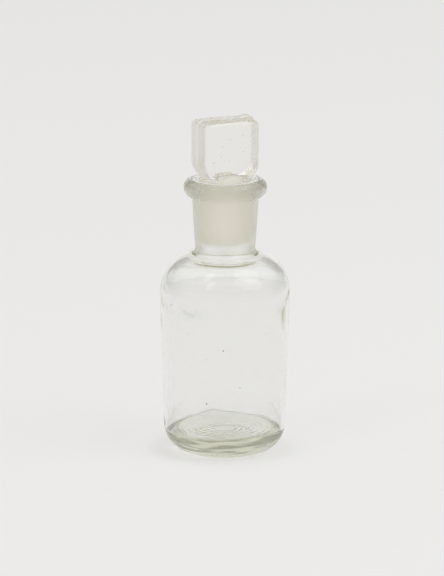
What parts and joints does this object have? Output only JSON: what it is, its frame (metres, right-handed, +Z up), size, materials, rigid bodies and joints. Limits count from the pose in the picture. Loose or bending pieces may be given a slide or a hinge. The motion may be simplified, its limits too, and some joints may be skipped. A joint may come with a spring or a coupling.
{
  "type": "reagent bottle",
  "caption": "Narrow-mouth clear glass reagent bottle with a round shoulder, rolled lip and heavy flat base, closed by a block-headed stopper ground to fit the neck.",
  "frame": {"origin": "middle of the flat ring that the bottle stands on", "axes": "+Z up along the bottle's axis and the stopper's lift; the picture looks along +Y from slightly above, with +X to its right"},
  "size_m": [0.0398, 0.0398, 0.103],
  "materials": {
    "bottle_glass": "clear blown glass with a faint green cast, frosted in the ground bore of the neck",
    "stopper_glass": "clear pressed glass with a faint green cast, frosted on the ground plug"
  },
  "bodies": {
    "bottle": {"bottle": "bottle_glass"},
    "stopper": {"stopper": "stopper_glass"}
  },
  "joints": [
    {"name": "stopper_lift", "type": "slide", "parent": "bottle", "child": "stopper", "axis": [0, 0, 1], "range_m": [0, 0.05]}
  ]
}
